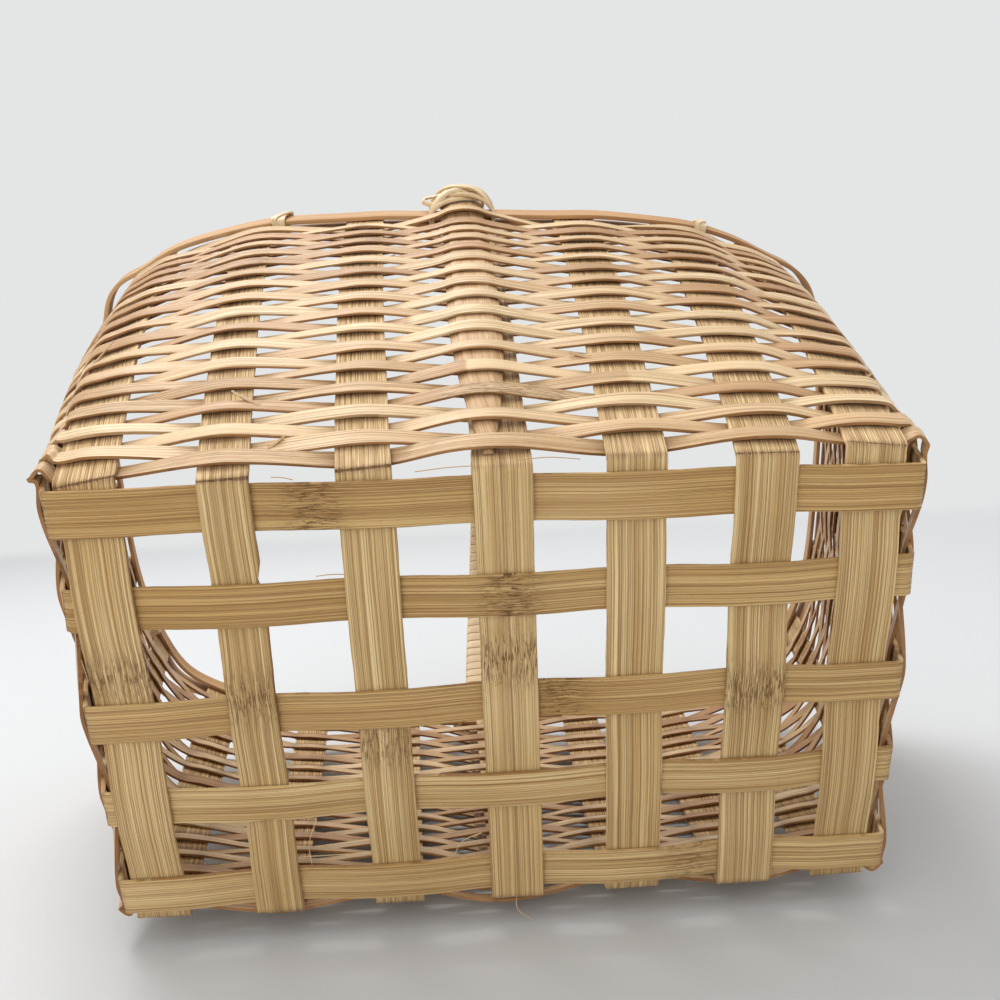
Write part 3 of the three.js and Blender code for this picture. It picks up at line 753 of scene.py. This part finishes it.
def rowControls(row):
    # the points that a row passes at each stake, each with its way up
    look = weaverLook
    height = rows["lowest"] + rowPitch * row
    controls = []
    seed = 900 + row * 11
    share = np.arange(len(stakes)) / len(stakes)
    drift = look["wander"] * (ripple(share * 2, seed) + 0.6 * ripple(share * 7, seed + 1))
    for m, stake in enumerate(stakes):
        outside = (m + row) % 2 == 1
        f = wallFrame(stake, height)
        if outside and stake[:2] == ("cross", middle):
            top = height + rows["width"] / 2
            thick = handleSize(top)[1]
            offset = handleOffset(top) + thick + weave["gap"] + rows["thick"] / 2
            centre = -stake[2] * bow["shift"]
            places = [(centre + bow["width"] / 2 * u, offset - thick * look["drape"] * u * u)
                      for u in look["overHandle"]]
        else:
            half = stakeWidth(stake) / 2
            offset = weaveOffset if outside else -weaveOffset
            swell = look["swell"] if outside else -look["innerSwell"]
            places = [(-half, offset), (0, offset + swell), (half, offset)]
        controls.append([(inFrame(f, a, drift[m], o), f[2]) for a, o in places])
    return controls


def cornerLoop(a, b, row):
    reach = rows["loopReach"] * (1 - row / rows["loopRows"])
    mid = (a[0] + b[0]) / 2
    out = unit(vec(np.sign(mid[0]), np.sign(mid[1]), 0))
    along = vec(-out[1], out[0], 0)
    side = unit(a[1] + b[1])
    return [(mid + out * reach + along * s * rows["loopHalf"], side) for s in (-1, 1)]


def rowMarksAndShade(row, path, t, length, controls, r):
    # a row is pieced from a few lengths of peel, each with its own tone, and takes painted shade
    look = weaverLook
    cuts = np.sort(r.uniform(0, 1, 3))
    tones, fibres = r.uniform(*look["tones"], 4), r.uniform(0, 1, 4) ** look["bareness"]
    tones[-1], fibres[-1] = tones[0], fibres[0]
    marksAndShade = np.zeros((len(path), 4))
    reach = np.hypot(path[:, 0] / wearAndPaintedShade["halfLength"], path[:, 1] / wearAndPaintedShade["halfDepth"])
    # painted shade at the corners and in the upper rows, laid into the tone
    paintedShade = wearAndPaintedShade["corner"] * smoothStep((reach - wearAndPaintedShade["reach"]) / wearAndPaintedShade["ease"])
    paintedShade = paintedShade * smoothStep(row / wearAndPaintedShade["cornerRows"])
    paintedShade += wearAndPaintedShade["upper"] * smoothStep((row - wearAndPaintedShade["upperFrom"]) / wearAndPaintedShade["upperRows"])
    marksAndShade[:, 2] = tones[np.searchsorted(cuts, t)] + paintedShade
    marksAndShade[:, 3] = fibres[np.searchsorted(cuts, t)]
    x0, x1, tint, freckles = quirks.get(row, (0, 0, 0, 0))
    ease = look["quirkEase"]
    span = smoothStep((path[:, 0] - x0) / ease) * smoothStep((x1 - path[:, 0]) / ease) * (path[:, 1] < 0)
    marksAndShade[:, 2] += (tint - marksAndShade[:, 2]) * span
    marksAndShade[:, 0] += freckles * span
    for place in r.uniform(0, 1, 2):
        marksAndShade[:, 0] += look["joint"] * np.exp(-((t - place) * length / look["jointReach"]) ** 2)
    # painted shade on the row where it slips behind a stake
    for m, control in enumerate(controls):
        if (m + row) % 2 == 0:  # dark where it slips behind a stake
            for point, _ in control[::2]:
                near = np.linalg.norm(path - point, axis=1)
                marksAndShade[:, 1] -= look["shade"] * np.exp(-(near / look["shadeReach"]) ** 2)
    marksAndShade[-1] = marksAndShade[0]
    return marksAndShade


def layWeaver(row):
    look = weaverLook
    controls = rowControls(row)
    route = []
    for m, group in enumerate(controls):
        route += group
        if isCorner(m) and row < rows["loopRows"]:
            route += cornerLoop(group[-1], controls[(m + 1) % len(stakes)][0], row)
    line = spline([np.concatenate(c) for c in route], look["perSpan"], True)
    path, side = line[:, :3], unit(line[:, 3:])
    run = lengthAlong(path)
    t = run / run[-1]
    seed = 300 + row * 13
    r = np.random.default_rng(seed)
    width = rows["width"] * (look["wider"] + look["vary"] * r.uniform(-1, 1))
    half = width / 2 * np.stack([1 + look["vary"] * ripple(t * 5, seed + k) for k in (0, 1)], axis=1)
    half[-1] = half[0]
    ahead = unit(np.roll(path, -1, 0) - np.roll(path, 1, 0))
    twist = look["twist"] * (ripple(t * 4, seed + 2) + look["lean"])
    side = side + np.cross(ahead, side) * twist[:, None]
    side[-1] = side[0]
    marksAndShade = rowMarksAndShade(row, path, t, run[-1], controls, r)
    name = f"weaverRow{row + 1:02d}"
    obj = layStrip(name, path, side, half, rows["thick"], look["edge"], closed=True, marksAndShade=marksAndShade,
                   grain=20 + row, cutEdgeAndShade=edgeAndShadeFinish)
    for own, x, reach, steep in spurs:
        if own == row:
            near = np.argmin(np.abs(path[:, 0] - x) + 1000 * (path[:, 1] > 0))  # on the front wall
            obj = joinAs(name, [obj, laySpur(name, path[near], ahead[near], side[near], reach, steep)])
    finishPiece(obj, weaverFinish, f"weaver_row_{row + 1:02d}")


def laySpur(name, start, way, up, reach, steep):
    look = spurLook
    t = np.linspace(0, 1, look["steps"])[:, None]
    up = unit(up)
    out = np.cross(unit(way), up)
    way = way * (1 if steep > 0 else -1)
    rise = abs(steep) * reach * t ** look["curl"]
    off = look["off"] + look["lift"] * t ** look["liftPower"]
    line = start + way * (t * reach) + up * rise + out * off
    half = look["half"] * (1 - look["taper"] * t)
    return layStrip(name + "Spur", line, up, half, look["thick"], look["edge"], marksAndShade=look["marksAndShade"],
                    grain=look["grain"])


for row in range(rows["count"]):
    layWeaver(row)
print("weavers are laid")


# rim band, hoop and ties
rimLook = dict(
    perSpan=6, step=2, across=4, edge=0.4, vary=0.03, joints=(0.13, 0.47, 0.81), joint=0.5, jointReach=0.005,
    tone=0.2, cornerBow=((0.22, 0.72), (0.5, 1), (0.78, 0.72)),  # how far across a corner, how far out
)
tie = dict(
    width=3, thick=0.8, gap=0.15, edge=0.2, corner=0.8, perSpan=6, grain=70,
    places=[(1, 1), (5, 1), (23, -1), (19, 1)],  # which stake it stands beside, and on which side
    laps=[(0, 0), (2.4, 0.6)], climb=0.6, thinner=0.15,  # how each lap leans and stands off
)


def rimRoute(height, offset, reach):
    groups = []
    for stake in stakes:
        f = wallFrame(stake, height)
        half = stakeWidth(stake) / 2
        groups.append([(inFrame(f, a, 0, offset), f[2]) for a in (-half, half)])
    route = []
    for m, group in enumerate(groups):
        route += group
        if isCorner(m):
            a, b = group[-1], groups[(m + 1) % len(stakes)][0]
            side = unit(a[1] + b[1])
            out = unit(np.cross(unit(b[0] - a[0]), side))
            for share, part in rimLook["cornerBow"]:
                route.append((a[0] + (b[0] - a[0]) * share + out * reach * part, side))
    return spline([np.concatenate(c) for c in route], rimLook["perSpan"], True)


def evened(line, step, spread):
    # a closed line in equal steps, with its kinks eased over the spread
    run = lengthAlong(line[:, :3])
    at = np.linspace(0, run[-1], int(run[-1] / step), endpoint=False)
    even = atLengths(line, run, at)
    reach = int(3 * spread / step)
    near = np.arange(-reach, reach + 1)
    weights = np.exp(-(near * step / spread) ** 2 / 2)
    smooth = sum(w * np.roll(even, -k, 0) for k, w in zip(near, weights / weights.sum()))
    return np.vstack([smooth, smooth[:1]])


def layHoop(name, node, height, offset, reach, width, thick, ease, grain):
    line = evened(rimRoute(height, offset, reach), rimLook["step"], ease)
    path, side = line[:, :3], unit(line[:, 3:])
    t = lengthAlong(path)
    t = t / t[-1]
    half = width / 2 * np.stack([1 + rimLook["vary"] * ripple(t * 3, grain + k) for k in (0, 1)], axis=1)
    half[-1] = half[0]
    marksAndShade = np.zeros((len(path), 4))
    for place in rimLook["joints"]:
        marksAndShade[:, 0] += rimLook["joint"] * np.exp(-((t - place) / rimLook["jointReach"]) ** 2)
    marksAndShade[:, 2] = rimLook["tone"] * ripple(t * 3, grain + 2)
    marksAndShade[-1] = marksAndShade[0]
    obj = layStrip(name, path, side, half, thick, rimLook["edge"], closed=True, across=rimLook["across"],
                   marksAndShade=marksAndShade, grain=grain)
    finishPiece(obj, rimFinish, node)


layHoop("rimBand", "rim_band", bandHeight, bandOffset, rim["reach"], rim["width"], rim["thick"],
        rim["ease"], grain=60)
hoopHeight = bandHeight + (rim["width"] - rim["hoopWidth"]) / 2
layHoop("rimHoop", "rim_hoop", hoopHeight, -hoopOffset, rim["hoopReach"], rim["hoopWidth"], rim["hoopThick"],
        rim["hoopEase"], grain=61)


def layTie(number, m, way):
    stake, follower = stakes[m], stakes[(m + way) % len(stakes)]
    f, g = wallFrame(stake, bandHeight), wallFrame(follower, bandHeight)
    own = inFrame(f, way * (stakeWidth(stake) / 2 + weave["ease"]), 0, 0)
    far = inFrame(g, -way * (stakeWidth(follower) / 2 + weave["ease"]), 0, 0)
    along = unit(far - own)
    centre = own + along * (tie["width"] / 2 + tie["gap"])
    up = unit(f[2] - along * f[2].dot(along))
    along = along * way
    out = np.cross(along, up)
    outer = bandOffset + rim["thick"] / 2 + tie["gap"] + tie["thick"] / 2
    inner = -(hoopOffset + rim["hoopThick"] / 2 + tie["gap"] + tie["thick"] / 2)
    top = rim["width"] / 2 + tie["gap"] + tie["thick"] / 2
    cut = tie["corner"]
    corners = [(top, outer - cut), (top - cut, outer), (-top + cut, outer), (-top, outer - cut),
               (-top, inner + cut), (-top + cut, inner), (top - cut, inner), (top, inner + cut)]
    laps = []
    for turn, (lean, stand) in enumerate(tie["laps"]):
        route = []
        for h, o in corners:
            place = centre + up * (h + np.sign(h) * stand * tie["climb"]) + out * (o + np.sign(o) * stand)
            route.append(np.concatenate([place + along * lean * np.sign(h) * (o > 0), along]))
        line = spline(route, tie["perSpan"], True)
        half, thick = tie["width"] / (2 + turn), tie["thick"] - tie["thinner"] * turn
        laps.append(layStrip(f"rimTie{number}Lap{turn}", line[:, :3], line[:, 3:], half, thick, tie["edge"],
                             closed=True, grain=tie["grain"] + number + turn * 4))
    finishPiece(joinAs(f"rimTie{number}", laps), caneFinish, f"rim_tie_{number}")


for number, (m, way) in enumerate(tie["places"], 1):
    layTie(number, m, way)
print("rim is bound")


# bow handle, its wrap and lashings
handleLook = dict(wallSteps=170, archSteps=90, crowding=1.1, belowRim=1, shade=0.9, tone=0.15, toneVary=0.2,
                  toneWave=190, sharp=math.radians(16))
# the right half of the pared face, in shares of its half width and thickness
paredShares = [(1, 0.12), (1, 0.4), (0.97, 0.5), (0.8, 0.7), (0.64, 0.89), (0.56, 0.95), (0.36, 0.975),
               (0.12, 1)]
wrapLook = dict(steps=2400, edge=0.28, cup=0.12, sway=0.05, tone=-0.05, toneVary=0.16, toneTurns=7)


def halfRound(width, thick):
    # a flat underside and a face pared in three, listed anticlockwise about the way of travel
    left = [(-u, v) for u, v in reversed(paredShares)]
    face = np.array(paredShares + left) * vec(width / 2, thick)
    flat = width / 2 - bow["underside"]
    return np.vstack([face, [[-flat, 0], [flat, 0]]])


def bowFrames(line):
    tangent = unit(np.gradient(line, axis=0))
    side = np.tile(vec(-1, 0, 0), (len(line), 1))
    side = unit(side - tangent * np.sum(side * tangent, axis=1, keepdims=True))
    return tangent, side, np.cross(tangent, side)


def layHandle():
    look = handleLook
    steps = look["wallSteps"]
    feet = {}
    for end in (-1, 1):
        feet[end] = []
        for share in np.linspace(0, 1, steps) ** look["crowding"]:
            height = bow["tipHeight"] + (weave["rimHeight"] - look["belowRim"] - bow["tipHeight"]) * share
            f = wallFrame(("cross", middle, end), height)
            feet[end].append((inFrame(f, -end * bow["shift"], 0, handleOffset(height)), handleSize(height)))
    arch = [(p, handleSize(weave["rimHeight"])) for p in bowLine(look["archSteps"])[1:-1]]
    points, sizes = zip(*feet[-1], *arch, *reversed(feet[1]))
    line = np.array(points)
    _, side, out = bowFrames(line)
    rings = []
    for p, s, o, (width, thick) in zip(line, side, out, sizes):
        rings.append([p + s * u + o * v for u, v in halfRound(width, thick)])
    marksAndShade = np.zeros((len(line), 4))
    marksAndShade[:, 2] = look["tone"] + look["toneVary"] * ripple(lengthAlong(line) / look["toneWave"], 82)
    # painted shade on the handle under each row that passes over it
    for end, span in ((-1, slice(0, steps)), (1, slice(-steps, None))):
        marksAndShade[span, 1] = -look["shade"] * rowShade(stakes.index(("cross", middle, end)), line[span, 2])
    obj = skinRings("bowHandle", rings, False, marksAndShade=marksAndShade, grain=80, sharpFrom=look["sharp"])
    finishPiece(obj, handleFinish, "bow_handle")


def layWrap():
    # the strip goes round the half-round bow edge to edge, from rim to rim
    look = wrapLook
    line = bowLine(look["steps"])
    run = lengthAlong(line)
    start, stop = wrap["start"], run[-1] - wrap["start"]
    turns = int((stop - start) / wrap["pitch"])
    room = 2 * weave["gap"] + wrap["thick"]
    around = halfRound(bow["width"] + room, bow["thick"] + room)
    around[:, 1] -= weave["gap"] + wrap["thick"] / 2
    n = wrap["perTurn"]
    loop = resample(np.vstack([around, around[:1]]), n + 1)[:-1]
    k = np.arange(turns * n + 1)
    at = start + (stop - start) * k / (turns * n)
    p, t, a, o = [atLengths(part, run, at) for part in (line, *bowFrames(line))]
    uv = loop[k % n]
    sway = ripple(k / (turns * n) * 9, 77) * look["sway"]
    path = p + a * uv[:, :1] + o * (uv[:, 1:] + sway[:, None])
    marksAndShade = np.zeros((len(path), 4))
    marksAndShade[:, 2] = look["toneVary"] * ripple(k / n / look["toneTurns"], 78) + look["tone"]
    obj = layStrip("handleWrap", path, t, wrap["width"] / 2, wrap["thick"], look["edge"], cup=look["cup"],
                   marksAndShade=marksAndShade, grain=90)
    finishPiece(obj, caneFinish, "handle_wrap")


lash = dict(
    inset=1, sag=0.9, fall=1.6, follow=0.6, crest=4.5, crestFall=0.5, nip=0.5, flat=0.62, sides=8, perSpan=6,
    radius=0.85, vary=0.12, grain=95, knotRadius=0.95, knotPerSpan=7, knotGrain=109,
    # how far up each round lies, how high it rides over the handle on either way, how steep
    strands=[(-2.3, (0, 1.2), 0.8), (-0.8, (0.1, 1.3), 1.0), (0.8, (0.1, 1.3), 1.1), (2.4, (0.2, 1.2), 1.0),
             (3.6, (1.9, 2.9), 0.7), (1.2, (2.6, 3.4), 1.3), (4.4, (2.6, 3.3), 1.05)],
    # the loop of the loose end beside the handle: sideways, up and out from the middle of the band
    knot=[(-5.0, 0.4, 5.0), (-8.6, 1.3, 5.2), (-12.0, 2.4, 5.6), (-14.2, 3.6, 6.4), (-13.6, 5.0, 7.2),
          (-11.2, 5.2, 7.6), (-8.8, 4.3, 8.2), (-6.2, 3.2, 9.2), (-3.0, 1.9, 10.1), (0.6, 0.4, 10.2),
          (4.2, -1.4, 9.0)],
)


def lashRoute(end, spread, lifts, tilt):
    # one strand of the figure of eight: over the handle's face and round the band and hoop
    f = wallFrame(("cross", middle, end), bandHeight)
    centre = -bow["shift"] * end
    room = cane["gap"] + cane["radius"]
    inside = -(hoopOffset + rim["hoopThick"] / 2 + room)
    beside = bandOffset + rim["thick"] / 2 + room
    face = handleOffset(weave["rimHeight"]) + bow["thick"] + room
    high = rim["width"] / 2 + room
    wide = bow["width"] / 2 + cane["side"] - lash["inset"]
    shoulder = bow["width"] / 2 + room / 2
    sag, crest, nip = lash["sag"], lash["crest"], lash["nip"]
    route = []
    for way, lift in zip((1, -1), lifts):
        top = face + lift
        brow = top - lash["crestFall"]
        slope = face - lash["fall"] + lift * lash["follow"]
        h = high * tilt
        over = [(-wide, -h + sag, beside), (-shoulder, -h / 2 - sag, slope), (-crest, -h / 4, brow),
                (0, 0, top), (crest, h / 4, brow), (shoulder, h / 2 + sag, slope), (wide, h - sag, beside)]
        behind = [(wide, high, 0), (wide, high - nip, inside + nip), (wide, 0, inside),
                  (wide, -high + nip, inside + nip), (wide, -high, 0)]
        route += [(a * way, b, c) for a, b, c in over + behind]
    return np.array([inFrame(f, a + centre, h + spread, o) for a, h, o in route])


def roundCane(name, line, radius, closed, grain):
    ahead = np.roll(line, -1, 0) - np.roll(line, 1, 0)
    if not closed:
        ahead[0], ahead[-1] = line[1] - line[0], line[-1] - line[-2]
    tangent = unit(ahead)
    side = np.zeros_like(line)
    side[0] = unit(np.cross(tangent[0], vec(0.3, 0.2, 1)))
    for i in range(1, len(line)):
        side[i] = unit(side[i - 1] - tangent[i] * side[i - 1].dot(tangent[i]))
    out = np.cross(tangent, side)
    angle = 2 * math.pi * np.arange(lash["sides"]) / lash["sides"]
    rings = [[p + s * radius * math.cos(a) + o * radius * lash["flat"] * math.sin(a) for a in angle]
             for p, s, o in zip(line, side, out)]
    return skinRings(name, rings, closed, grain=grain)


def layLashing(end, name, node):
    strands = []
    for number, (spread, lifts, tilt) in enumerate(lash["strands"]):
        line = spline(lashRoute(end, spread, lifts, tilt), lash["perSpan"], True)[:-1]
        radius = lash["radius"] + lash["vary"] * (number % 3)
        strands.append(roundCane(f"{name}Strand{number}", line, radius, True, lash["grain"] + number))
    f = wallFrame(("cross", middle, end), bandHeight)
    tail = [inFrame(f, -a * end - bow["shift"] * end, h, o) for a, h, o in lash["knot"]]
    tail = spline(tail, lash["knotPerSpan"], False)
    strands.append(roundCane(f"{name}Knot", tail, lash["knotRadius"], False, lash["knotGrain"]))
    finishPiece(joinAs(name, strands), caneFinish, node)


layHandle()
layWrap()
layLashing(-1, "lashingFront", "handle_lashing_front")
layLashing(1, "lashingBack", "handle_lashing_back")
print("handle is bound on")


# stage: pale table, room and soft light. The basket lies on its +Y wall, so the table passes below the
# wall's belly and the back lashing.
table = dict(tilt=15.4, drop=72.8, size=9, color=(203, 205, 207), rough=0.85, shine=0.2,
             fadeFrom=0.93, fadeTo=1.12)
room = dict(light=(236, 236, 236), strength=0.73, seen=(228, 230, 230), seenStrength=1.0)
lamps = [  # name, place, aim, size in metres, watts and colour
    ("window", (-0.3, -1.0, 0.75), (0, 0, 0.08), 0.7, 12.6, (1.0, 0.985, 0.965)),
    ("room fill", (0.8, 0.2, 1.2), (0, 0, 0.1), 1.2, 3.5, (1, 1, 1)),
    ("front fill", (-0.2, -0.9, -0.35), (0, 0.05, -0.1), 1.4, 3.7, (1, 1, 1)),
    ("near fill", (-0.3, -0.3, -0.6), (0, 0, 0.03), 0.5, 1.75, (1.0, 0.98, 0.95)),
]


def layTable():
    tilt = math.radians(table["tilt"])
    normal = (0, -math.cos(tilt), math.sin(tilt))
    centre = Vector([-c * table["drop"] * mm for c in normal])
    deselect()
    bpy.ops.mesh.primitive_plane_add(size=table["size"])
    obj = bpy.context.object
    obj.name = "table"
    turn = Vector(normal).to_track_quat("Z", "Y").to_matrix().to_4x4()
    obj.matrix_world = Matrix.Translation(centre) @ turn
    f = Finish("table")
    f.surface({"Base Color": linear(*table["color"]), "Roughness": table["rough"],
               "Specular IOR Level": table["shine"]})
    # its back lets the other views through, and its far end fades into the room
    clear = f.node("ShaderNodeBsdfTransparent", {})
    backface = f.node("ShaderNodeNewGeometry", {}, out="Backfacing")
    place = f.node("ShaderNodeSeparateXYZ", {}, f.node("ShaderNodeTexCoord", {}, out="Object"), out="Y")
    gone = backface.math("MAXIMUM", backface, f.ramp(place, table["fadeFrom"], table["fadeTo"]))
    shown = f.node("ShaderNodeMixShader", {}, gone, Wire(f, f.shader.outputs[0]), clear)
    f.feed(f.nodes["Material Output"].inputs["Surface"], shown)
    obj.data.materials.append(f.material)


def lightRoom():
    # the room lights softly, and is seen, also in gloss, as the pale background
    world = bpy.data.worlds.new("room")
    bpy.context.scene.world = world
    world.use_nodes = True
    f = NodeTree(world.node_tree)
    background = f.nodes["Background"]
    f.feed(background.inputs["Color"], linear(*room["light"]))
    f.feed(background.inputs["Strength"], room["strength"])
    seen = f.node("ShaderNodeBackground", {}, linear(*room["seen"]), room["seenStrength"])
    rays = f.node("ShaderNodeLightPath", {}, out="Is Camera Ray")
    seenBy = rays
    for kind in ("Is Glossy Ray", "Is Transmission Ray"):
        seenBy = rays.math("MAXIMUM", seenBy, rays.output(kind))
    shown = f.node("ShaderNodeMixShader", {}, seenBy, Wire(f, background.outputs[0]), seen)
    f.feed(f.nodes["World Output"].inputs["Surface"], shown)


def softLamp(name, place, aim, size, power, color):
    deselect()
    bpy.ops.object.light_add(type="AREA", location=place)
    lamp = bpy.context.object
    lamp.name = name
    lamp.data.size = size
    lamp.data.energy = power
    lamp.data.color = color
    lamp.rotation_mode = "QUATERNION"
    lamp.rotation_quaternion = (Vector(aim) - Vector(place)).to_track_quat("-Z", "Y")


layTable()
lightRoom()
for lamp in lamps:
    softLamp(*lamp)

# camera at the photograph's viewing angle
view = dict(
    place=(-3.72, -135.22, -226.62), lens=36, sensor=36, nearest=0.01, farthest=50,
    right=vec(0.998127, 0.035711, -0.049671),
    down=vec(-0.050478, 0.939458, -0.338926),
    ahead=vec(0.034560, 0.340798, 0.939501),
)
bpy.ops.object.camera_add()
camera = bpy.context.object
camera.data.lens = view["lens"]
camera.data.sensor_width = view["sensor"]
camera.data.clip_start = view["nearest"]
camera.data.clip_end = view["farthest"]
turn = Matrix([list(view["right"]), list(-view["down"]), list(-view["ahead"])]).transposed().to_4x4()
camera.matrix_world = Matrix.Translation(Vector(view["place"]) * mm) @ turn
bpy.context.scene.camera = camera
bpy.context.scene.view_settings.view_transform = "Standard"
print("stage is set")
